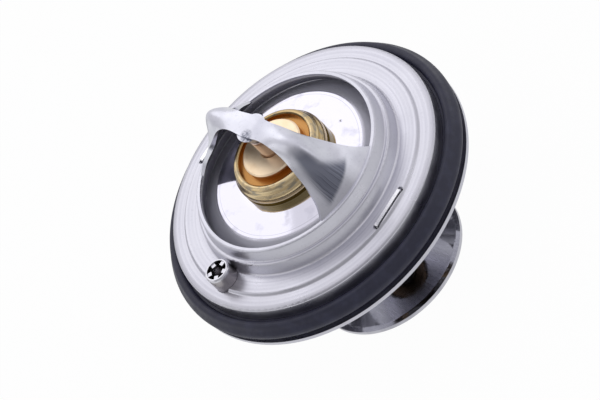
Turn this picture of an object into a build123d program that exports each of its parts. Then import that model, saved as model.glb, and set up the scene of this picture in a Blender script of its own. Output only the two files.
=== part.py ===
from build123d import *
import math
import os

# Wax-element thermostat for the cooling circuit of a heavy engine, standing on its bypass disc.
# Z is the axis of the valve and points to the bridge; X runs along the bridge.
# The origin is on the axis, in the plane that the bypass disc's rim stands on. Millimetres.

# ---- driving dimensions ---------------------------------------------------------------------
SHEET = 1.0                 # stainless sheet of the flange, the cage and both discs
TIGHT_BEND = 0.15           # least inside radius of a bend
FIT = 0.05                  # radial clearance of a sliding or slipped-in fit
SEAT_GAP = 0.05             # gap left between faces that touch in use

# bypass disc and the stem it slides on
BYPASS_R = 19.9             # outer radius of the bypass disc
BYPASS_RIM = 1.35           # width of its flat rim
BYPASS_HUB_R = 8.5          # radius of its raised centre
BYPASS_DISH = 2.6           # how far the centre stands above the rim
STEM_R = 2.2
STEM_HEAD_R = 3.0           # riveted end of the stem
STEM_HEAD_T = 0.8
END_WASHER_R = 5.1
END_WASHER_T = 0.8
STEM_FLANGE_R = 4.6
STEM_FLANGE_T = 1.2
STEM_SPIGOT_R = 1.8         # staked through the bottom of the element cup
BYPASS_SPRING_R = 5.0       # mean radius
BYPASS_WIRE_R = 0.7
BYPASS_SPRING_TURNS = 5.5
BYPASS_LIFT = 5.0           # how far the bypass disc gives way
BYPASS_SPRING_SHUT = 11.4   # length of its spring after that
SPRING_WASHER_R = 6.6
SPRING_WASHER_T = 0.8

# wax element
CUP_R = 10.2                # body below the valve disc
CUP_WALL = 0.9
CUP_FLOOR = 1.2
CUP_CORNER = 1.6
HEAD_R = 12.4               # bulged head above the valve disc
HEAD_FOOT_R = 12.0
HEAD_BAND_T = 1.0           # lower band of the head, next to the disc
HEAD_BULGE_H = 2.9          # height of the widest place above the disc
LIP_H = 6.1                 # crest of the crimped lip above the disc
LIP_R = 10.15               # radius of the crest
LIP_HOLE_R = 9.75           # inside edge of the crimped lip
CRIMP_T = 1.3               # metal of the lip above the guide's flange
GUIDE_FLANGE_R = 11.0
GUIDE_FLANGE_T = 2.0
GUIDE_R = 7.9               # flat plug that guides the piston
GUIDE_PROUD = 0.95          # plug above the lip
PISTON_R = 2.65
PISTON_CHAMFER = 0.4
SLEEVE_FLANGE_T = 1.0
SLEEVE_R = 5.4
PISTON_HELD = 9.0           # length of the piston that stays in the sleeve when the valve is open
SLEEVE_END_T = 1.2
CHAFE_RING_R = 4.5
CHAFE_RING_T = 0.8
BODY_L = 22.0               # body of the cup below the top face of the valve disc

# valve disc, its spring and the cage
DISC_HUB_R = 13.6
DISC_FLAT_R = 20.0          # where the flat of the disc turns down to its seating cone
DISC_FLAT_DROP = 1.1
DISC_R = 25.1
DISC_CONE_DROP = 2.85
VALVE_LIFT = 9.0            # travel of the valve from shut to fully open
RETAINER_R = 18.0
RETAINER_COLLAR_L = 4.2
MAIN_SPRING_R = 15.2        # mean radius
MAIN_WIRE_R = 1.15
MAIN_SPRING_TURNS = 5.5
MAIN_SPRING_L = 22.6
CAGE_RING_R = 18.6
CAGE_COLLAR_H = 2.4
LEG_W = 11.4
LEG_CLEARANCE = 0.8         # between a leg's shoulders and the flange, beside the step
TAB_L = 10.4                # tab of the leg, along the slot
TAB_PROUD = 0.35
LEG_KNEE_H = 7.5            # straight part of the leg below the flange

# flange, dome and bridge, all one pressing
BAND_R = 36.0               # outside of the wall that the seal sits on
RIM_W = 3.55                # how far the rim reaches out from that wall
FLANGE_DROP = 8.5           # rim below the top band
BAND_CORNER = 0.5
BAND_SLOPE = 0.35           # the top band rises inwards by this
BAND_W = 3.65               # width of the top band
STEP_H = 0.75
STEP_RUN = 0.45
DOME_FOOT_R = 27.0
DOME_STEP_H = 3.3           # lower step of the dome
LEDGE_W = 0.95
NECK_H = 3.2
NECK_RUN = 0.75
OPENING_R = 23.55
LIP_T_R = 0.45              # outside corner of the opening's lip
BRIDGE_H = 23.5             # top of the bridge above the top band
BRIDGE_T = 1.05
NIB_TIP_R = 2.5
NIB_TIP_EDGE = 0.3
NIB_ROOT_R = 3.9
NIB_L = 3.0
SLOT_IN = 5.2               # middle of a slot, inwards from the wall
SLOT_CLEARANCE = 0.3        # between a tab and its slot, all round
# Outer face of the bridge from its middle to a foot: reach of the ridge, its drop, reach of the edge,
# its drop, half the width, and how far the edges flare (1 is a bell, 0 a plain curve).
# Reach and width are shares of the opening's radius, drops are shares of the bridge's rise.
BRIDGE_STATIONS = (
    (0.000, 0.000, 0.000, 0.010, 0.126, 1.0),
    (0.195, 0.000, 0.183, 0.010, 0.113, 1.0),
    (0.391, 0.000, 0.348, 0.060, 0.123, 0.2),
    (0.600, 0.038, 0.510, 0.239, 0.157, 0.0),
    (0.747, 0.220, 0.637, 0.453, 0.217, 0.6),
    (0.870, 0.566, 0.773, 0.667, 0.285, 1.0),
    (0.943, 0.830, 0.866, 0.849, 0.361, 0.7),
    (0.985, 0.950, 0.895, 0.945, 0.414, 0.4),
    (1.030, 1.060, 0.930, 1.055, 0.485, 0.0),
)

# seal
SEAL_W = 3.95               # section of the seal, from the wall to its widest place
SEAL_H = 5.8
SEAL_NECK_W = 2.15          # width of its straight foot
SEAL_NECK_H = 0.85
SEAL_HEEL = 0.6             # chamfer that clears the bend of the flange

# vent with its loose ball
VENT_IN = 6.0               # middle of the vent, inwards from the wall
VENT_ANGLE = 266.0          # about Z, from X
VENT_R = 3.2
VENT_WALL = 0.6
VENT_PROUD = 4.2            # above the stamped band
VENT_LIP_R = 3.75
VENT_TABS = 5
VENT_TAB_HOLE_R = 1.5
BALL_R = 1.7
BALL_SEAT_R = 1.15
BALL_SEAT_DROP = 0.5        # depth of the cone round the seat
BALL_GAP = 0.15             # ball above the edge of its seat
VENT_TAB_W = 1.05
BALL_LIFT = 3.5

# ---- levels, bottom to top ------------------------------------------------------------------
HUB_TOP = BYPASS_DISH + SHEET
END_WASHER_Z = BYPASS_DISH - SEAT_GAP - END_WASHER_T
SPRING_WASHER_Z = HUB_TOP + BYPASS_SPRING_SHUT + BYPASS_LIFT + SEAT_GAP
CUP_BOTTOM = SPRING_WASHER_Z + SPRING_WASHER_T + STEM_FLANGE_T
DISC_TOP = CUP_BOTTOM + BODY_L + SHEET
RETAINER_Z = DISC_TOP - 2 * SHEET - 2 * SEAT_GAP
CAGE_TOP = RETAINER_Z - MAIN_SPRING_L
SLEEVE_DEPTH = VALVE_LIFT + PISTON_HELD
GUIDE_Z = DISC_TOP + LIP_H - CRIMP_T - GUIDE_FLANGE_T
SLEEVE_Z = GUIDE_Z - SLEEVE_FLANGE_T
# the seat's inner corner meets the cone of the disc, and that sets the height of the flange
SEAT_CORNER_R = OPENING_R + NECK_RUN
SEAT_CORNER_Z = DISC_TOP - DISC_FLAT_DROP - DISC_CONE_DROP * (
    (SEAT_CORNER_R - DISC_FLAT_R) / (DISC_R - DISC_FLAT_R)
)
LEDGE_Z = SEAT_CORNER_Z + SHEET + 3 * SEAT_GAP
STAMPED_Z = LEDGE_Z - DOME_STEP_H
BAND_Z = STAMPED_Z - STEP_H - BAND_SLOPE
FLANGE_TOP = BAND_Z - FLANGE_DROP
OPENING_Z = LEDGE_Z + NECK_H
BRIDGE_TOP = BAND_Z + BRIDGE_H
NIB_Z = BRIDGE_TOP - BRIDGE_T - NIB_L
# radii that follow from the wall
FLANGE_R = BAND_R + RIM_W
SEAL_R = BAND_R + FIT + SEAL_W
STEP_R = BAND_R - BAND_W
SLOT_R = BAND_R - SLOT_IN
VENT_RADIUS = BAND_R - VENT_IN


def revolved(*outline):
    """A solid of revolution about Z from an outline of (radius, height) points."""
    face = make_face(Plane.XZ * Polyline(*outline, close=True))
    return revolve(face, Axis.Z)


def ring(inner, outer, low, high):
    """A plain ring or washer about Z."""
    return revolved((inner, low), (outer, low), (outer, high), (inner, high))


def sheet_ring(top_line, radii, thickness=SHEET):
    """A pressed ring: its upper face's outline, inside out, with the sheet's other face below it.

    The lower corners are mitred from the upper ones. The sheet thins a little in its bends.
    """
    points = [Vector(x, z) for x, z in top_line]
    ways = [(b - a).normalized() for a, b in zip(points, points[1:])]
    downs = [Vector(w.Y, -w.X) for w in ways]
    below = [points[0] + downs[0] * thickness]
    below_radii = []
    for point, way_in, way_out, down, bend in zip(points[1:], ways, ways[1:], downs, radii):
        turn = way_in.cross(way_out).Z
        half = math.acos(max(-1, min(1, way_in.dot(way_out)))) / 2
        below.append(point + down * thickness + way_in * thickness * math.tan(half) * (-1 if turn < 0 else 1))
        below_radii.append(max(bend - thickness, TIGHT_BEND) if turn < 0 else bend + thickness / 2)
    below.append(points[-1] + downs[-1] * thickness)
    upper = FilletPolyline(*points, radius=radii)
    lower = FilletPolyline(*below, radius=below_radii)
    ends = [Line(upper @ 0, lower @ 0), Line(upper @ 1, lower @ 1)]
    return revolve(make_face(Plane.XZ * Curve([upper, lower, *ends])), Axis.Z)


def placed_round(shape, radius, angle):
    """Move a shape built on Z out to a radius and an angle about Z."""
    return Rot(0, 0, angle) * Pos(radius, 0, 0) * shape


def coil_spring(mean_r, wire_r, turns, low, high):
    """A helical spring with its end coils ground flat at the two heights."""
    path = Pos(0, 0, low) * Helix(pitch=(high - low) / turns, height=high - low, radius=mean_r)
    start = Plane(origin=path @ 0, z_dir=path % 0)
    wire = sweep(start * Circle(wire_r), path=path)
    for level, way in ((low, -1), (high, 1)):
        wire -= Pos(0, 0, level + way * 2 * wire_r) * Cylinder(mean_r + 2 * wire_r, 4 * wire_r)
    return wire


# ---- bypass valve ---------------------------------------------------------------------------
def bypass_disc():
    slope_r = BYPASS_R - BYPASS_RIM
    line = [(STEM_R + 2 * FIT, HUB_TOP), (BYPASS_HUB_R, HUB_TOP), (slope_r, SHEET), (BYPASS_R, SHEET)]
    return sheet_ring(line, [2.5, 1.2])


def end_washer():
    return ring(STEM_R + FIT, END_WASHER_R, END_WASHER_Z, END_WASHER_Z + END_WASHER_T)


def bypass_spring():
    return coil_spring(BYPASS_SPRING_R, BYPASS_WIRE_R, BYPASS_SPRING_TURNS,
                       HUB_TOP + SEAT_GAP, SPRING_WASHER_Z - SEAT_GAP)


def spring_washer():
    return ring(STEM_R + FIT, SPRING_WASHER_R, SPRING_WASHER_Z, SPRING_WASHER_Z + SPRING_WASHER_T)


def stem():
    head_top = END_WASHER_Z - SEAT_GAP / 2
    flange_low = SPRING_WASHER_Z + SPRING_WASHER_T
    floor_top = CUP_BOTTOM + CUP_FLOOR
    return revolved(
        (0, head_top - STEM_HEAD_T), (STEM_HEAD_R - STEM_HEAD_T / 2, head_top - STEM_HEAD_T),
        (STEM_HEAD_R, head_top - STEM_HEAD_T / 2), (STEM_HEAD_R, head_top), (STEM_R, head_top),
        (STEM_R, flange_low), (STEM_FLANGE_R, flange_low), (STEM_FLANGE_R, CUP_BOTTOM),
        (STEM_SPIGOT_R, CUP_BOTTOM), (STEM_SPIGOT_R, floor_top), (0, floor_top),
    )


# ---- wax element ----------------------------------------------------------------------------
def element_cup():
    """Drawn cup; its mouth is crimped over the flange of the guide, and its head sits on the disc."""
    cavity_r = CUP_R - CUP_WALL
    mouth_r = GUIDE_FLANGE_R + FIT
    crimp_z = GUIDE_Z + GUIDE_FLANGE_T
    shell = Polyline(
        (STEM_SPIGOT_R, CUP_BOTTOM), (CUP_R - CUP_CORNER, CUP_BOTTOM)
    )
    corner = CenterArc((CUP_R - CUP_CORNER, CUP_BOTTOM + CUP_CORNER), CUP_CORNER, -90, 90)
    wall = Polyline(
        (CUP_R, CUP_BOTTOM + CUP_CORNER), (CUP_R, DISC_TOP), (HEAD_R, DISC_TOP),
        (HEAD_R, DISC_TOP + HEAD_BAND_T), (HEAD_FOOT_R, DISC_TOP + HEAD_BAND_T),
        (HEAD_FOOT_R, DISC_TOP + HEAD_BAND_T + 0.35),
    )
    bulge = ThreePointArc(wall @ 1, (HEAD_R, DISC_TOP + HEAD_BULGE_H),
                          (HEAD_R - 0.45, DISC_TOP + HEAD_BULGE_H + 1.1))
    shoulder = Spline(bulge @ 1, (LIP_R, DISC_TOP + LIP_H), tangents=[bulge % 1, (-1, 0)])
    inside = Polyline(
        shoulder @ 1, (LIP_HOLE_R, DISC_TOP + LIP_H - 0.25), (LIP_HOLE_R, crimp_z),
        (mouth_r, crimp_z), (mouth_r, SLEEVE_Z), (cavity_r, SLEEVE_Z),
        (cavity_r, CUP_BOTTOM + CUP_FLOOR), (STEM_SPIGOT_R, CUP_BOTTOM + CUP_FLOOR),
        (STEM_SPIGOT_R, CUP_BOTTOM),
    )
    face = make_face(Plane.XZ * Curve([shell, corner, wall, bulge, shoulder, inside]))
    return revolve(face, Axis.Z)


def piston_guide():
    top = DISC_TOP + LIP_H + GUIDE_PROUD
    bore = PISTON_R + FIT
    edge = 0.35
    return revolved(
        (bore, GUIDE_Z + CHAFE_RING_T), (CHAFE_RING_R + FIT, GUIDE_Z + CHAFE_RING_T),
        (CHAFE_RING_R + FIT, GUIDE_Z), (GUIDE_FLANGE_R, GUIDE_Z),
        (GUIDE_FLANGE_R, GUIDE_Z + GUIDE_FLANGE_T), (GUIDE_R, GUIDE_Z + GUIDE_FLANGE_T),
        (GUIDE_R, top - edge), (GUIDE_R - edge, top), (bore + edge, top), (bore, top - edge),
    )


def chafe_ring():
    return ring(PISTON_R + FIT, CHAFE_RING_R, GUIDE_Z + SEAT_GAP, GUIDE_Z + CHAFE_RING_T)


def rubber_sleeve():
    end = SLEEVE_Z - SLEEVE_DEPTH
    bore = PISTON_R + FIT
    return revolved(
        (0, end), (SLEEVE_R - 1, end), (SLEEVE_R, end + 1.5), (SLEEVE_R, SLEEVE_Z),
        (GUIDE_FLANGE_R, SLEEVE_Z), (GUIDE_FLANGE_R, GUIDE_Z), (bore, GUIDE_Z),
        (bore, end + SLEEVE_END_T), (0, end + SLEEVE_END_T),
    )


def wax_charge():
    end = SLEEVE_Z - SLEEVE_DEPTH
    outer = CUP_R - CUP_WALL - FIT
    floor = CUP_BOTTOM + CUP_FLOOR + FIT
    return revolved(
        (0, floor), (outer, floor), (outer, SLEEVE_Z - FIT), (SLEEVE_R + FIT, SLEEVE_Z - FIT),
        (SLEEVE_R + FIT, end + 1.5 - FIT), (SLEEVE_R - 1, end - 2 * FIT), (0, end - 2 * FIT),
    )


def piston():
    low = SLEEVE_Z - SLEEVE_DEPTH + SLEEVE_END_T + SEAT_GAP
    high = NIB_Z - SEAT_GAP / 2
    c = PISTON_CHAMFER
    return revolved(
        (0, low), (PISTON_R - c, low), (PISTON_R, low + c), (PISTON_R, high - c / 2),
        (PISTON_R - c / 2, high), (0, high),
    )


# ---- main valve and cage --------------------------------------------------------------------
def valve_disc():
    line = [
        (CUP_R + FIT, DISC_TOP), (DISC_HUB_R, DISC_TOP), (DISC_FLAT_R, DISC_TOP - DISC_FLAT_DROP),
        (DISC_R, DISC_TOP - DISC_FLAT_DROP - DISC_CONE_DROP),
    ]
    return sheet_ring(line, [3.0, 0.5])


def spring_retainer():
    """Collar on the element's body with a flange that the main spring pushes on."""
    inner = CUP_R + FIT
    top = RETAINER_Z + SHEET
    # the flange lies under the flat of the disc, which falls away outwards
    outer_top = top - DISC_FLAT_DROP
    return revolved(
        (inner, RETAINER_Z - RETAINER_COLLAR_L), (inner + 0.9, RETAINER_Z - RETAINER_COLLAR_L),
        (inner + 0.9, RETAINER_Z - 0.6), (inner + 1.5, RETAINER_Z), (RETAINER_R, RETAINER_Z),
        (RETAINER_R, outer_top + DISC_FLAT_DROP * (DISC_FLAT_R - RETAINER_R) / (DISC_FLAT_R - DISC_HUB_R)),
        (DISC_HUB_R, top), (inner, top),
    )


def main_spring():
    return coil_spring(MAIN_SPRING_R, MAIN_WIRE_R, MAIN_SPRING_TURNS,
                       CAGE_TOP + SEAT_GAP, RETAINER_Z - SEAT_GAP)


def cage():
    """Pressed spring cage: a ring with a drawn collar and two legs staked through the flange."""
    leg_x = SLOT_R
    knee_z = STAMPED_Z - SHEET - LEG_KNEE_H
    shoulder_z = STAMPED_Z - SHEET - LEG_CLEARANCE
    ring_x = CAGE_RING_R - SHEET
    middle = FilletPolyline(
        (-leg_x, shoulder_z), (-leg_x, knee_z), (-ring_x, CAGE_TOP - SHEET / 2),
        (ring_x, CAGE_TOP - SHEET / 2), (leg_x, knee_z), (leg_x, shoulder_z),
        radius=[3, 4, 4, 3],
    )
    strap_face = make_face(offset(middle, SHEET / 2, kind=Kind.INTERSECTION))
    strap = extrude(Plane.XZ * strap_face, LEG_W / 2, both=True)
    plate = ring(CUP_R + 2 * FIT, CAGE_RING_R, CAGE_TOP - SHEET, CAGE_TOP)
    collar = ring(CUP_R + 2 * FIT, CUP_R + 2 * FIT + SHEET, CAGE_TOP - SHEET, CAGE_TOP + CAGE_COLLAR_H)
    body = strap + plate + collar
    body -= Pos(0, 0, CAGE_TOP) * Cylinder(CUP_R + 2 * FIT, 4 * CAGE_COLLAR_H)
    tab_h = SHEET + LEG_CLEARANCE + TAB_PROUD + SHEET
    tab = extrude(Rectangle(SHEET, TAB_L), tab_h)
    tab = fillet(tab.edges().filter_by(Axis.X).group_by(Axis.Z)[-1], 0.3)
    for side in (-1, 1):
        body += Pos(side * leg_x, 0, shoulder_z - SHEET) * tab
    return body


# ---- flange with dome and bridge ------------------------------------------------------------
def bridge_section(ridge, edge, half_width, flare):
    """One station of the bridge: a channel from its edge over the ridge to the other edge."""
    up = (ridge - edge).normalized()
    height = (ridge - edge).length

    def across(side, shift):
        """Outer face for no shift, or the face that lies below it by the shift."""
        share = flare * math.cos(math.pi * side / 2) ** 2 + (1 - flare) * (1 - side ** 2)
        slope = -flare * math.pi / 2 * math.sin(math.pi * side) - (1 - flare) * 2 * side
        slope *= height / half_width
        length = math.hypot(1, slope)
        y = half_width * side + shift * slope / length
        rise = height * share - shift / length
        return edge + up * rise + Vector(0, y, 0)

    sides = (-1, -0.5, 0, 0.5, 1)
    outer = Spline(*[across(s, 0) for s in sides])
    inner = Spline(*[across(s, BRIDGE_T) for s in sides])
    return make_face([outer, Line(outer @ 1, inner @ 1), inner, Line(inner @ 0, outer @ 0)])


def bridge():
    """The bridge is lofted through channel sections that turn from upright to level at each foot."""
    rise = BRIDGE_TOP - OPENING_Z
    sections = []
    for side, stations in ((-1, BRIDGE_STATIONS[:0:-1]), (1, BRIDGE_STATIONS)):
        for ridge_x, ridge_drop, edge_x, edge_drop, width, flare in stations:
            ridge = Vector(side * ridge_x * OPENING_R, 0, BRIDGE_TOP - ridge_drop * rise)
            edge = Vector(side * edge_x * OPENING_R, 0, BRIDGE_TOP - edge_drop * rise)
            sections.append(bridge_section(ridge, edge, width * OPENING_R, flare))
    return loft(sections)


def flange_bridge():
    neck_top = OPENING_R + SHEET
    ledge_r = SEAT_CORNER_R + SHEET
    line = [
        (FLANGE_R, FLANGE_TOP), (BAND_R, FLANGE_TOP), (BAND_R, BAND_Z),
        (STEP_R, BAND_Z + BAND_SLOPE), (STEP_R - STEP_RUN, STAMPED_Z),
        (DOME_FOOT_R, STAMPED_Z), (ledge_r + LEDGE_W, LEDGE_Z), (ledge_r, LEDGE_Z),
        (neck_top, OPENING_Z), (OPENING_R, OPENING_Z),
    ]
    radii = [0.4, BAND_CORNER + 0.1, 0.3, 0.3, 0.5, 0.5, 0.3, LIP_T_R]
    shell = sheet_ring(list(reversed(line)), list(reversed(radii)))
    nib = revolved(
        (0, NIB_Z), (NIB_TIP_R - NIB_TIP_EDGE, NIB_Z), (NIB_TIP_R, NIB_Z + NIB_TIP_EDGE),
        (NIB_ROOT_R, NIB_Z + NIB_L), (0, NIB_Z + NIB_L + BRIDGE_T / 2),
    )
    body = shell + bridge() + nib
    slot_w = SHEET + 2 * SLOT_CLEARANCE
    slot_face = Rot(0, 0, 90) * SlotOverall(TAB_L + slot_w, slot_w)
    slot = extrude(slot_face, 4 * SHEET, both=True)
    for side in (-1, 1):
        body -= Pos(side * SLOT_R, 0, STAMPED_Z) * slot
    vent_hole = Cylinder(VENT_R + FIT, 6 * SHEET)
    return body - Pos(0, 0, STAMPED_Z) * placed_round(vent_hole, VENT_RADIUS, VENT_ANGLE)


def seal_ring():
    """Moulded rubber ring: a straight foot on the flange, a wide shoulder and a groove beside the wall."""
    low = FLANGE_TOP + SEAT_GAP
    inner = BAND_R + FIT
    neck_r = inner + SEAL_NECK_W
    foot = Polyline((inner + SEAL_HEEL, low), (neck_r, low), (neck_r, low + SEAL_NECK_H))
    under = Spline(foot @ 1, (SEAL_R, low + 0.47 * SEAL_H), tangents=[(1, 0.5), (0, 1)])
    back = Spline(
        under @ 1, (SEAL_R - 0.2 * SEAL_W, low + 0.75 * SEAL_H),
        (inner + 0.47 * SEAL_W, low + SEAL_H), tangents=[(0, 1), (-1, 0)],
    )
    crest = Spline(back @ 1, (inner + 0.14 * SEAL_W, low + 0.8 * SEAL_H), tangents=[(-1, 0), (-0.4, -1)])
    groove = Polyline(crest @ 1, (inner, low + 0.8 * SEAL_H), (inner, low + SEAL_HEEL), foot @ 0)
    face = make_face(Plane.XZ * Curve([foot, under, back, crest, groove]))
    return revolve(face, Axis.Z)


# ---- vent -----------------------------------------------------------------------------------
def vent_levels():
    """Underside, floor and top of the vent tube."""
    top = STAMPED_Z + VENT_PROUD
    low = top - (2 * BALL_R + BALL_LIFT + 2 * VENT_WALL)
    return low, low + VENT_WALL, top


def vent_body():
    low, floor, top = vent_levels()
    bore = VENT_R - VENT_WALL
    lip_top = STAMPED_Z - STEP_H - BAND_SLOPE - SHEET
    shell = revolved(
        (BALL_SEAT_R, low), (VENT_LIP_R - 0.4, low), (VENT_LIP_R, low + 0.4), (VENT_LIP_R, lip_top - 0.25),
        (VENT_R, lip_top - 0.25), (VENT_R, top - 0.3), (VENT_R - 0.3, top), (bore, top),
        (bore, floor + BALL_SEAT_DROP), (BALL_SEAT_R, floor),
    )
    tab_l = bore + VENT_WALL / 2 - VENT_TAB_HOLE_R
    tab = Pos(VENT_TAB_HOLE_R + tab_l / 2, 0, top - VENT_WALL) * Box(tab_l, VENT_TAB_W, VENT_WALL)
    for i in range(VENT_TABS):
        shell += Rot(0, 0, 360 * (i + 0.5) / VENT_TABS) * tab
    return placed_round(shell, VENT_RADIUS, VENT_ANGLE)


def vent_ball():
    low, floor, top = vent_levels()
    rise = math.sqrt(BALL_R ** 2 - BALL_SEAT_R ** 2)
    ball = Pos(0, 0, floor + rise + BALL_GAP) * Sphere(BALL_R)
    return placed_round(ball, VENT_RADIUS, VENT_ANGLE)


PIECES = [
    flange_bridge, seal_ring, cage, valve_disc, spring_retainer, main_spring,
    element_cup, piston_guide, chafe_ring, rubber_sleeve, wax_charge, piston,
    stem, spring_washer, bypass_spring, bypass_disc, end_washer, vent_body, vent_ball,
]

os.makedirs("parts", exist_ok=True)
for make in PIECES:
    export_step(make(), f"parts/{make.__name__}.step")
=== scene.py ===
import bmesh
import bpy
from mathutils import Matrix, Vector


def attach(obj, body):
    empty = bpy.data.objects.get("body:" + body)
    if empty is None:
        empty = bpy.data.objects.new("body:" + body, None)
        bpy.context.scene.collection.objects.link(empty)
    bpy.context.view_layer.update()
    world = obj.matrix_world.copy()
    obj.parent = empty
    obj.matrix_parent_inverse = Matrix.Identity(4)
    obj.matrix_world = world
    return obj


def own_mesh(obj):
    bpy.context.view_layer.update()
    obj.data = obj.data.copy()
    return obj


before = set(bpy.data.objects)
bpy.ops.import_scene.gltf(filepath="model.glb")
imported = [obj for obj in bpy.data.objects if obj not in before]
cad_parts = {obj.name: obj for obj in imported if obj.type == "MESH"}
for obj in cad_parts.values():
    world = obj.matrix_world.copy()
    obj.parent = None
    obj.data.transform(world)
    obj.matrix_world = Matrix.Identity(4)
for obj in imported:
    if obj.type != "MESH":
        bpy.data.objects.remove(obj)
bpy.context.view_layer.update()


# ---- Flange, dome and bridge ----------------------------------------------------------------
# One pressing of 1 mm stainless sheet: rim, wall, two flat bands, a stepped dome, and the bridge
# that is drawn up out of the dome's metal. Rolled satin faces, with draw marks up its two feet.
MM = 0.001
HARD, SOFT = "LINEAR", "SMOOTHSTEP"


def linear(hex_colour):
    """An sRGB hex colour as the linear values that a socket takes."""
    parts = [int(hex_colour[i:i + 2], 16) / 255 for i in (1, 3, 5)]
    return [c / 12.92 if c <= 0.04045 else ((c + 0.055) / 1.055) ** 2.4 for c in parts] + [1.0]


def add_node(tree, kind, inputs=(), out=0, to=None, **settings):
    """Add a shader node with its settings, set or link its inputs, and link one output on."""
    made = tree.nodes.new("ShaderNode" + kind)
    for name, value in settings.items():
        setattr(made, name, value)
    for name, value in inputs.items() if isinstance(inputs, dict) else enumerate(inputs):
        if isinstance(value, bpy.types.NodeSocket):
            tree.links.new(value, made.inputs[name])
        else:
            made.inputs[name].default_value = value
    if to is not None:
        tree.links.new(made.outputs[out], to)
    return made.outputs[out]


def new_material(name, **sockets):
    """A material with one Principled shader: the material, its tree and the shader's sockets."""
    made = bpy.data.materials.new(name)
    made.use_nodes = True
    skin = made.node_tree.nodes["Principled BSDF"].inputs
    for socket, value in sockets.items():
        skin[socket.replace("_", " ")].default_value = value
    return made, made.node_tree, skin


def finish(material, *names):
    """Give CAD nodes a material."""
    for name in names:
        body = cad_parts[name].data
        body.materials.clear()
        body.materials.append(material)


def along(tree, axis):
    """How far a point lies along an axis of the object, in metres."""
    place = add_node(tree, "TexCoord", out="Object")
    return add_node(tree, "SeparateXYZ", [place], out=axis)


def from_axis(tree):
    """How far a point lies from the Z axis, in metres."""
    place = add_node(tree, "TexCoord", out="Object")
    flat = add_node(tree, "VectorMath", [place, (1, 1, 0)], operation="MULTIPLY")
    return add_node(tree, "VectorMath", [flat], out="Value", operation="LENGTH")


def from_spot(tree, spot_mm):
    """How far a point lies from a spot, in metres."""
    place = add_node(tree, "TexCoord", out="Object")
    spot = [c * MM for c in spot_mm]
    return add_node(tree, "VectorMath", [place, spot], out="Value", operation="DISTANCE")


def facing(tree, way):
    """How far the surface faces a direction, from -1 to 1."""
    normal = add_node(tree, "NewGeometry", out="True Normal")
    return add_node(tree, "VectorMath", [normal, way], out="Value", operation="DOT_PRODUCT")


def grain(tree, size_mm, stretch=(1, 1, 1), detail=2.0):
    """Noise with grains of a real size; a stretch over 1 makes them longer along that axis."""
    place = add_node(tree, "TexCoord", out="Object")
    scale = [1 / (size_mm * MM * s) for s in stretch]
    scaled = add_node(tree, "VectorMath", [place, scale], operation="MULTIPLY")
    inputs = {"Vector": scaled, "Scale": 1.0, "Detail": detail}
    return add_node(tree, "TexNoise", inputs, out="Fac")


def turned(tree, pitch_mm, detail=2.0):
    """Noise that depends only on the distance from the Z axis, as a lathe or polisher leaves it."""
    step = add_node(tree, "Math", [from_axis(tree), 1 / (pitch_mm * MM)], operation="MULTIPLY")
    inputs = {"W": step, "Scale": 1.0, "Detail": detail}
    return add_node(tree, "TexNoise", inputs, out="Fac", noise_dimensions="1D")


def share(tree, *windows, most=1.0):
    """How far all the windows are open together, from 0 to most.

    A window is a value, where it is shut, where it is open, and if wanted HARD or SOFT and how
    far it stays open when it is shut.
    """
    product = None
    for value, shut, opened, *rest in windows:
        edge, least = (rest + [HARD, 0.0][len(rest):])[:2]
        top = most if product is None else 1.0
        one = add_node(tree, "MapRange", [value, shut, opened, least * top, top],
                       interpolation_type=edge)
        product = one if product is None else add_node(tree, "Math", [product, one],
                                                       operation="MULTIPLY")
    return product


def coat(tree, under, over, *windows, most=1.0, to=None):
    """Lay one colour over another where the windows are open."""
    under, over = (linear(c) if isinstance(c, str) else c for c in (under, over))
    inputs = {0: share(tree, *windows, most=most), 6: under, 7: over}
    return add_node(tree, "Mix", inputs, out=2, to=to, data_type="RGBA")


def relief(tree, skin, *layers):
    """Relief from pairs of a height (0 to 1) and its depth in mm, the first one lowest."""
    inputs = {}
    for height, depth_mm in layers:
        inputs.update({"Height": height, "Strength": 1.0, "Distance": depth_mm * MM})
        inputs["Normal"] = add_node(tree, "Bump", inputs)
    tree.links.new(inputs["Normal"], skin["Normal"])


BRUSH_PITCH = 0.8                            # mm; real brush lines are finer, and wouldn't show
BANDS_END, DRAWN_START = 44 * MM, 49 * MM    # heights where bands give way to drawn metal
FOOT_Z, STRAP_Z = 46 * MM, 60 * MM           # the bridge narrows between these heights
FOOT_HALF_WIDTH, STRAP_HALF_WIDTH = 11.5 * MM, 3.2 * MM
HOLLOW_LOW, HOLLOW_HIGH = 47.9 * MM, 57.5 * MM
HOLLOW_SLOPE = -0.23                         # how the hollow's lower edge rises with Y
LEAN_LOW, LEAN_HIGH = 49.5 * MM, 55 * MM     # between them the hollow's outer edge leans inwards
MARKS_FULL, MARKS_END = 50.5 * MM, 55 * MM
MARKS_ROUND = 90.0                           # draw marks in each unit of Y over radius
NECK_INSIDE, NECK_TOP = 24.0 * MM, 45.7 * MM
BAND_FLAT, BAND_EDGE = 34.5 * MM, 36 * MM    # radii between which the outer band rounds off
NIB_MM = (1.0, -2.6, 60.6)

# rolled stainless steel, satin: broad soft reflections, cut by fine lines
satin_steel, tree, skin = new_material("satin_stainless", Metallic=1.0)
high, side, out = along(tree, "Z"), along(tree, "Y"), from_axis(tree)
cloud = grain(tree, 7, detail=4)
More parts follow.
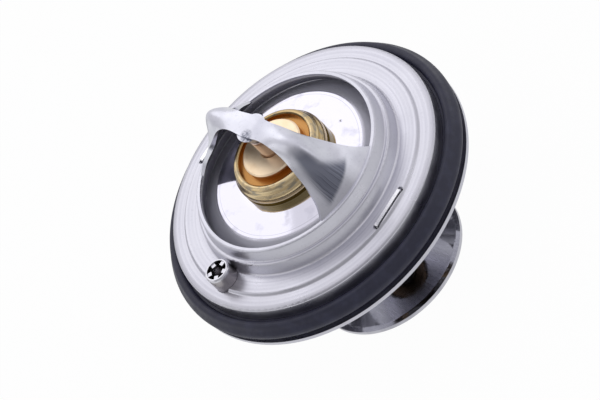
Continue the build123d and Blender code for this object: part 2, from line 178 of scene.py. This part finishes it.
# the flat bands were brushed on a turning table and wiped since; drawing left the bridge brighter
colour = coat(tree, "#D6D6DE", "#C6C6CF", (turned(tree, BRUSH_PITCH, detail=5), 0.3, 0.7))
colour = coat(tree, colour, "#DFDFE5", (grain(tree, 14, detail=3), 0.4, 0.65), most=0.35)
drawn = coat(tree, "#E2E3EB", "#CDCED8", (cloud, 0.4, 0.7))
colour = coat(tree, colour, drawn, (high, BANDS_END, DRAWN_START, SOFT))
colour = coat(tree, colour, "#8C8C96", (grain(tree, 0.5, detail=1), 0.62, 0.72), most=0.15)
# each foot has a hollow that the punch left, with painted shade in it between a bright edge and a
# line that moves out towards the rim of the opening
half_width = add_node(tree, "MapRange",
                      [high, FOOT_Z, STRAP_Z, FOOT_HALF_WIDTH, STRAP_HALF_WIDTH])
across = add_node(tree, "Math", [side, half_width], operation="DIVIDE")
outer_line = add_node(tree, "MapRange", [high, LEAN_LOW, LEAN_HIGH, 0.4, -0.05])
beside = add_node(tree, "Math", [across, outer_line], operation="SUBTRACT")
rise = add_node(tree, "Math", [side, HOLLOW_SLOPE, high], operation="MULTIPLY_ADD")
hollow_shade = share(tree, (across, -0.7, -0.45, SOFT), (beside, 0.2, -0.15, SOFT),
               (rise, HOLLOW_LOW, HOLLOW_LOW + 1 * MM, SOFT),
               (high, HOLLOW_HIGH + 3.5 * MM, HOLLOW_HIGH, SOFT))
# draw marks fan up through it, clearer on one foot than on the other
fan = add_node(tree, "Math", [side, out], operation="DIVIDE")
wander = add_node(tree, "MapRange", [grain(tree, 3), 0, 1, -0.02, 0.02])
fan_place = add_node(tree, "Math", [fan, wander], operation="ADD")
fan_lines = add_node(tree, "TexNoise", {"W": fan_place, "Scale": MARKS_ROUND, "Detail": 3.0},
                     out="Fac", noise_dimensions="1D")
mark = share(tree, (along(tree, "X"), -5 * MM, 5 * MM, HARD, 0.2),
             (high, MARKS_END, MARKS_FULL, SOFT), (hollow_shade, 0, 1), (fan_lines, 0.48, 0.62))
# painted shade in the hollow of each foot
colour = coat(tree, colour, "#727686", (hollow_shade, 0, 1), most=0.85)
colour = coat(tree, colour, "#4A4E5C", (mark, 0, 1), most=0.8)
# the drawing punch dulled the inside of the neck
punched = share(tree, (out, NECK_INSIDE, NECK_INSIDE - 0.25 * MM, SOFT),
                (high, NECK_TOP, NECK_TOP - 0.4 * MM, SOFT))
streak = grain(tree, 0.4, stretch=(40, 40, 1), detail=4)
colour = coat(tree, colour, "#DADAE2", (punched, 0, 1), (streak, 0.3, 0.65, HARD, 0.6))
satin = add_node(tree, "MapRange", [cloud, 0.35, 0.65, 0.27, 0.36])
add_node(tree, "MapRange", [punched, 0, 1, satin, 0.6], to=skin["Roughness"])
add_node(tree, "MapRange", [punched, 0, 1, 1, 0.5], to=skin["Metallic"])
# painted shade: faces that look down are darker
colour = coat(tree, colour, "#929299", (facing(tree, (0, 0, -1)), 0.2, 0.7), most=0.85)
# painted shade in the pocket round the nib that holds the piston, broken by flecks
coat(tree, colour, "#5C6070", (from_spot(tree, NIB_MM), 2.5 * MM, 1.1 * MM, SOFT),
     (grain(tree, 0.5, detail=3), 0.4, 0.6, HARD, 0.3), to=skin["Base Color"])
relief(tree, skin, (grain(tree, 5, detail=1), 0.02), (turned(tree, 0.2, detail=4), 0.0008),
       (mark, 0.004), (share(tree, (out, BAND_EDGE, BAND_FLAT, SOFT)), 0.2))
finish(satin_steel, "flange_bridge")

# ---- Seal ring ------------------------------------------------------------------------------
# Moulded black nitrile rubber, pushed over the wall down to the rim. Its skin is matt and very
# slightly uneven, with the dust and release agent of the mould on it.
seal_rubber, tree, skin = new_material("seal_rubber")
coat(tree, "#1E1F34", "#383A54", (grain(tree, 2.5, detail=4), 0.45, 0.75), most=0.35,
     to=skin["Base Color"])
add_node(tree, "MapRange", [grain(tree, 4), 0.3, 0.7, 0.42, 0.54], to=skin["Roughness"])
relief(tree, skin, (grain(tree, 6, detail=1), 0.05), (grain(tree, 0.4, detail=3), 0.006))
finish(seal_rubber, "seal_ring")

# ---- Cage -----------------------------------------------------------------------------------
# Spring cage pressed from 1 mm stainless strip; its two legs are pushed through slots in the
# flange and staked. The strip keeps the lines of rolling along its length.
STAKED_Z = 39.0 * MM                         # the staked ends above this have a painted highlight
# rolled strip, a little brighter than the flange and lined one way
strip_steel, tree, skin = new_material("strip_stainless", Metallic=1.0)
roll = grain(tree, 0.3, stretch=(30, 1, 30), detail=3)
strip = coat(tree, "#D4D4DC", "#B2B2BC", (roll, 0.4, 0.8), most=0.5)
# painted highlight on the staked ends
coat(tree, strip, "#FDFDFF", (along(tree, "Z"), STAKED_Z - 0.4 * MM, STAKED_Z),
     to=skin["Base Color"])
add_node(tree, "MapRange", [roll, 0.3, 0.7, 0.22, 0.36], to=skin["Roughness"])
relief(tree, skin, (roll, 0.003))
finish(strip_steel, "cage", "spring_retainer")

# ---- Vent and its ball ----------------------------------------------------------------------
# Small stainless tube swaged into the flange, with teeth that keep a loose steel ball in it. It
# lets trapped air out of the engine while the valve is shut.
TEETH_Z, VENT_ROOT_Z = 43.0 * MM, 38.4 * MM  # the teeth have a painted highlight, and the foot has painted shade
# drawn tube: warm grey and fairly sharp in its reflections
vent_steel, tree, skin = new_material("vent_stainless", Metallic=1.0)
high = along(tree, "Z")
tube = coat(tree, "#BDB8BA", "#8F8B8E", (grain(tree, 1.5, stretch=(1, 1, 3), detail=3), 0, 1))
# painted highlight on the teeth
tube = coat(tree, tube, "#D6D6DC", (high, TEETH_Z - 0.4 * MM, TEETH_Z))
# painted shade round the foot, where the tube meets the flange
coat(tree, tube, "#504E54", (high, VENT_ROOT_Z + 1.4 * MM, VENT_ROOT_Z, SOFT),
     to=skin["Base Color"])
add_node(tree, "MapRange", [grain(tree, 1.2), 0.3, 0.7, 0.16, 0.28], to=skin["Roughness"])
relief(tree, skin, (grain(tree, 0.2, stretch=(1, 1, 12)), 0.002))
finish(vent_steel, "vent_body")

# a hardened and lapped ball: nearly a mirror
ball_steel, tree, skin = new_material("ball_steel", Base_Color=linear("#B9B9C0"), Metallic=1.0)
add_node(tree, "MapRange", [grain(tree, 0.6), 0.3, 0.7, 0.08, 0.2], to=skin["Roughness"])
finish(ball_steel, "vent_ball")

# ---- Valve disc -----------------------------------------------------------------------------
# Stainless disc with a mirror finish that rests on the element's shoulder and shuts the opening
# from below. Polishing left faint rings, and handling left small smudges. The line near the flat's
# edge and the darker cone are painted dark reflection.
PAINTED_LINE_R, LINE_HALF_WIDTH = 19.2 * MM, 0.07 * MM
FLAT_END, CONE_START = 19.8 * MM, 20.8 * MM  # radii; the cone outside them is only ground, and darkened with painted reflection
PIT_MM = (7.1, 14.2, 44.8)
# polished stainless steel: a clean mirror, clouded by the smudges
mirror_steel, tree, skin = new_material("mirror_stainless", Metallic=1.0)
out = from_axis(tree)
smudge = share(tree, (grain(tree, 3.5, detail=3), 0.56, 0.72))
painted_line = add_node(tree, "Math", [out, PAINTED_LINE_R, LINE_HALF_WIDTH], operation="COMPARE")
cone = share(tree, (out, FLAT_END, CONE_START, SOFT))
colour = coat(tree, "#E4E3EE", "#D4D3DF", (smudge, 0, 1))
# a painted dark line near the flat's edge
colour = coat(tree, colour, "#8E8E98", (painted_line, 0, 1), most=0.35)
colour = coat(tree, colour, "#55505A", (from_spot(tree, PIT_MM), 0.6 * MM, 0.2 * MM, SOFT),
              (grain(tree, 0.3), 0.4, 0.6))
# painted dark reflection on the cone
coat(tree, colour, "#B0B0BA", (cone, 0, 1), to=skin["Base Color"])
polish = add_node(tree, "MapRange", [smudge, 0, 1, 0.07, 0.17])
add_node(tree, "MapRange", [cone, 0, 1, polish, 0.4], to=skin["Roughness"])
add_node(tree, "MapRange", [cone, 0, 1, 1, 0.6], to=skin["Metallic"])
relief(tree, skin, (turned(tree, 1.6), 0.002), (turned(tree, 0.15), 0.0003))
finish(mirror_steel, "valve_disc")

# ---- Main spring ----------------------------------------------------------------------------
# Coil of 2.3 mm spring steel between the cage's ring and the collar under the disc. The drawn
# wire is grey with fine die lines and a trace of brown heat colour.
spring_steel, tree, skin = new_material("spring_wire", Metallic=1.0)
coat(tree, "#8D8D93", "#776E69", (grain(tree, 5, detail=3), 0.45, 0.7), to=skin["Base Color"])
add_node(tree, "MapRange", [grain(tree, 1.0), 0.3, 0.7, 0.28, 0.42], to=skin["Roughness"])
relief(tree, skin, (grain(tree, 0.25, detail=3), 0.004))
finish(spring_steel, "main_spring")


def shorten(name):
    """Give a coil spring a mesh of its own."""
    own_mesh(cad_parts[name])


shorten("main_spring")

# ---- Wax element ----------------------------------------------------------------------------
# Drawn brass cup, crimped over the turned brass guide of the piston. The brass has bands from
# the drawing and grey-brown stains round the bulge. Sleeve, ring and wax are shut up inside.
HEAD_FOOT_Z, HEAD_Z = 46.3 * MM, 48.5 * MM   # the crimped head's foot; stained above the second
LIP_INSIDE = 10.0 * MM                       # radius of the crimped lip's inner face
# painted shade darkens the cup from the second height down, fully below the first
SHADE_FULL_Z, SHADE_START_Z = 40 * MM, 45 * MM
GUIDE_GROOVE_Z = 51.0 * MM
# drawn brass: pale yellow, lined round, and a deeper orange inside the lip, which is painted shade
cup_brass, tree, skin = new_material("drawn_brass", Metallic=1.0)
high = along(tree, "Z")
band = grain(tree, 0.5, stretch=(60, 60, 1), detail=3)
stain = grain(tree, 1.6, stretch=(1.5, 1.5, 0.5), detail=4)
colour = coat(tree, "#EED9AE", "#B89C68", (band, 0.35, 0.65))
# painted shade below the crimped head's foot, under its bulge
colour = coat(tree, colour, "#6E6438", (high, HEAD_FOOT_Z + 1.1 * MM, HEAD_FOOT_Z, SOFT),
              most=0.75)
colour = coat(tree, colour, "#959083", (stain, 0.5, 0.66), (high, HEAD_Z - 2 * MM, HEAD_Z, SOFT),
              most=0.8)
# painted shade inside the crimped lip
colour = coat(tree, colour, "#B07A30", (from_axis(tree), LIP_INSIDE, LIP_INSIDE - 0.3 * MM, SOFT),
              most=0.9)
# painted shade: the lower half, down under the flange, is dark brown
coat(tree, colour, "#4C4843", (high, SHADE_START_Z, SHADE_FULL_Z, SOFT), most=0.85, to=skin["Base Color"])
add_node(tree, "MapRange", [band, 0.3, 0.7, 0.16, 0.28], to=skin["Roughness"])
relief(tree, skin, (band, 0.008))
finish(cup_brass, "element_cup", "stem")

# free-cutting brass, faced on a lathe: pale and satin, with painted shade in the groove under the
# crimp
guide_brass, tree, skin = new_material("turned_brass", Metallic=1.0)
face = coat(tree, "#FFE8C6", "#F0D2A6", (grain(tree, 3, detail=4), 0.5, 0.75), most=0.6)
# painted shade in the groove under the crimp
coat(tree, face, "#BC8236", (along(tree, "Z"), GUIDE_GROOVE_Z + 0.6 * MM, GUIDE_GROOVE_Z, SOFT),
     most=0.9, to=skin["Base Color"])
add_node(tree, "MapRange", [turned(tree, 0.3), 0.3, 0.7, 0.3, 0.4], to=skin["Roughness"])
relief(tree, skin, (grain(tree, 2.5, detail=1), 0.03))
finish(guide_brass, "piston_guide")

# inside: a matt black rubber sleeve, a white fluoroplastic ring, and wax that is brown from the
# copper powder in it
for name, node, roughness, first, second, size_mm, detail in (
        ("sleeve_rubber", "rubber_sleeve", 0.6, "#1C1C1E", "#2A2A2C", 1.5, 2),
        ("ptfe", "chafe_ring", 0.45, "#E6E6E0", "#DADAD2", 1.5, 2),
        ("copper_wax", "wax_charge", 0.5, "#B98A5E", "#8A5A38", 0.4, 4)):
    filling, tree, skin = new_material(name, Roughness=roughness)
    coat(tree, first, second, (grain(tree, size_mm, detail=detail), 0, 1), to=skin["Base Color"])
    finish(filling, node)

# ---- Piston ---------------------------------------------------------------------------------
# Ground and polished steel pin that stands in the tip of the bridge; the wax pushes the element
# down along it. Grinding left fine rings round it.
# hardened steel, ground: a sharp shine drawn out along the pin; its warm colour is a painted
# reflection of the brass round it
pin_steel, tree, skin = new_material("ground_steel", Metallic=1.0)
ground = grain(tree, 0.12, stretch=(40, 40, 1))
coat(tree, "#CDBAB0", "#B2A096", (ground, 0, 1), to=skin["Base Color"])
add_node(tree, "MapRange", [ground, 0.3, 0.7, 0.14, 0.24], to=skin["Roughness"])
finish(pin_steel, "piston")

# ---- Washers and bypass spring --------------------------------------------------------------
# The washer that backs the bypass spring and the one riveted on below are stamped steel, and the
# small spring is 1.4 mm wire. All are dark from oil and heat treatment.
dark_steel, tree, skin = new_material("dark_steel", Metallic=1.0)
coat(tree, "#5A5A5E", "#3C3936", (grain(tree, 2, detail=4), 0.4, 0.7), to=skin["Base Color"])
add_node(tree, "MapRange", [grain(tree, 0.8), 0.3, 0.7, 0.25, 0.4], to=skin["Roughness"])
relief(tree, skin, (grain(tree, 0.2, stretch=(20, 20, 1)), 0.002))
finish(dark_steel, "spring_washer", "end_washer", "bypass_spring")
shorten("bypass_spring")

# ---- Bypass disc ----------------------------------------------------------------------------
# Dished stainless disc with a flat rim; it slides on the stem against its own small spring and
# shuts the bypass when the valve opens. Its outside is polished, with rings from spinning.
spun_steel, tree, skin = new_material("spun_stainless", Metallic=1.0)
smudge = share(tree, (grain(tree, 6, detail=3), 0.5, 0.7))
coat(tree, "#D9D9E0", "#C2C2CB", (smudge, 0, 1), to=skin["Base Color"])
add_node(tree, "MapRange", [smudge, 0, 1, 0.06, 0.14], to=skin["Roughness"])
relief(tree, skin, (turned(tree, 2.0), 0.003), (turned(tree, 0.2), 0.0003))
finish(spun_steel, "bypass_disc")

# ---- Floor ----------------------------------------------------------------------------------
# A white table top. It goes down with the bypass disc that stands on it, a hair below the disc
# so that the two faces don't share a plane.
FLOOR_SIZE = 3.0
FLOOR_DROP = 0.02 * MM
FLOOR_WHITE = 0.97                           # share of plain white in what the camera sees of it
FLOOR_MIRRORED = 0.5                         # and in what metal mirrors of it
floor_mesh = bmesh.new()
bmesh.ops.create_grid(floor_mesh, x_segments=1, y_segments=1, size=FLOOR_SIZE / 2)
bmesh.ops.translate(floor_mesh, verts=floor_mesh.verts, vec=(0, 0, -FLOOR_DROP))
floor_data = bpy.data.meshes.new("floor")
floor_mesh.to_mesh(floor_data)
floor_mesh.free()
floor = bpy.data.objects.new("floor", floor_data)
scene = bpy.context.scene
scene.collection.objects.link(floor)
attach(floor, "bypass")

# matt white laminate
floor_finish = bpy.data.materials.new("floor")
floor_finish.use_nodes = True
tree = floor_finish.node_tree
tree.nodes.clear()
surface = tree.nodes.new("ShaderNodeOutputMaterial").inputs["Surface"]
camera_ray, glossy_ray, clear_ray = (
    add_node(tree, "LightPath", out=ray)
    for ray in ("Is Camera Ray", "Is Glossy Ray", "Is Transmission Ray"))
laminate = add_node(tree, "BsdfDiffuse", {"Color": linear("#E6E6EA")})
white = add_node(tree, "Emission", {"Color": (1, 1, 1, 1), "Strength": 1.0})
seen = add_node(tree, "Math", [camera_ray, clear_ray], operation="MAXIMUM")
seen = add_node(tree, "Math", [seen, FLOOR_WHITE], operation="MULTIPLY")
mirrored = add_node(tree, "Math", [glossy_ray, FLOOR_MIRRORED], operation="MULTIPLY")
lit = add_node(tree, "Math", [seen, mirrored], operation="MAXIMUM")
add_node(tree, "MixShader", [lit, laminate, white], to=surface)
floor_data.materials.append(floor_finish)

# ---- Light ----------------------------------------------------------------------------------
# A white studio with three soft boxes. The camera sees it plain white; metal mirrors it bright
# above and behind the object and dimmer towards the camera, so that its forms show.
BRIGHT_WAY = Vector((-0.55, 0.55, 0.6)).normalized()
DIM, BRIGHT = 0.39, 0.93                     # what metal sees away from and towards the bright side
DIM_FACING, BRIGHT_FACING = -0.3, 0.95
SOFT_LIGHT = 0.75
BOX_RADIANCE = 0.3
WATTS_PER_AREA = 4                           # for a radiance of 1 from a square lamp
MIDDLE = Vector((0, 0, 0.04))
world = bpy.data.worlds.new("studio")
scene.world = world
world.use_nodes = True
tree = world.node_tree
tree.nodes.clear()
surface = tree.nodes.new("ShaderNodeOutputWorld").inputs["Surface"]
way = add_node(tree, "TexCoord", out="Generated")
towards = add_node(tree, "VectorMath", [way, BRIGHT_WAY], out="Value", operation="DOT_PRODUCT")
graded = add_node(tree, "MapRange", [towards, DIM_FACING, BRIGHT_FACING, DIM, BRIGHT])
room = add_node(tree, "Background", {"Color": (0.97, 0.955, 1, 1), "Strength": graded})
soft = add_node(tree, "Background", {"Color": (1, 1, 1, 1), "Strength": SOFT_LIGHT})
white = add_node(tree, "Background", {"Color": (1, 1, 1, 1), "Strength": 1.0})
glossy_ray, camera_ray = (
    add_node(tree, "LightPath", out=ray) for ray in ("Is Glossy Ray", "Is Camera Ray"))
unseen = add_node(tree, "MixShader", [glossy_ray, soft, room])
add_node(tree, "MixShader", [camera_ray, unseen, white], to=surface)

for name, way, distance, size in (
        ("back_box", (-0.342, 0.12, 0.303), 0.48, 0.36),
        ("left_box", (-0.45, -0.80, 0.45), 0.5, 0.3),
        ("right_box", (0.70, 0.59, 0.42), 0.5, 0.3)):
    box = bpy.data.lights.new(name, "AREA")
    box.size = size
    box.energy = BOX_RADIANCE * WATTS_PER_AREA * size ** 2
    lamp = bpy.data.objects.new(name, box)
    scene.collection.objects.link(lamp)
    way = Vector(way).normalized()
    turn = way.to_track_quat("Z", "Y").to_matrix().to_4x4()
    lamp.matrix_world = Matrix.Translation(MIDDLE + way * distance) @ turn

# ---- Camera ---------------------------------------------------------------------------------
# A long lens far off, which looks down at the object from its +X side. It is rolled, so that the
# bridge leans to the left of the view.
CAMERA_RIGHT = Vector((0.6586, 0.5300, -0.535)).normalized()
CAMERA_BACK = Vector((0.7114, -0.2039, 0.673)).normalized()
CAMERA_UP = CAMERA_BACK.cross(CAMERA_RIGHT).normalized()
CAMERA_RIGHT = CAMERA_UP.cross(CAMERA_BACK)
BAND_POINT = Vector((0, 0, 38.3 * MM))       # middle of the outer band, which the view is set from
BAND_X = 2.7                                 # where it lies from the middle of the view, in pixels
BAND_UP = 22.5
PIXEL = 0.2325 * MM
FOCAL_PIXELS = 16000
VIEW_W = 600
camera_data = bpy.data.cameras.new("camera")
camera_data.sensor_width = 36
camera_data.lens = camera_data.sensor_width * FOCAL_PIXELS / VIEW_W
camera_data.clip_end = 10
camera = bpy.data.objects.new("camera", camera_data)
scene.collection.objects.link(camera)
stand = (BAND_POINT + CAMERA_BACK * FOCAL_PIXELS * PIXEL - CAMERA_RIGHT * BAND_X * PIXEL
         - CAMERA_UP * BAND_UP * PIXEL)
turn = Matrix((CAMERA_RIGHT, CAMERA_UP, CAMERA_BACK)).transposed()
camera.matrix_world = Matrix.Translation(stand) @ turn.to_4x4()
scene.camera = camera
scene.view_settings.view_transform = "Standard"
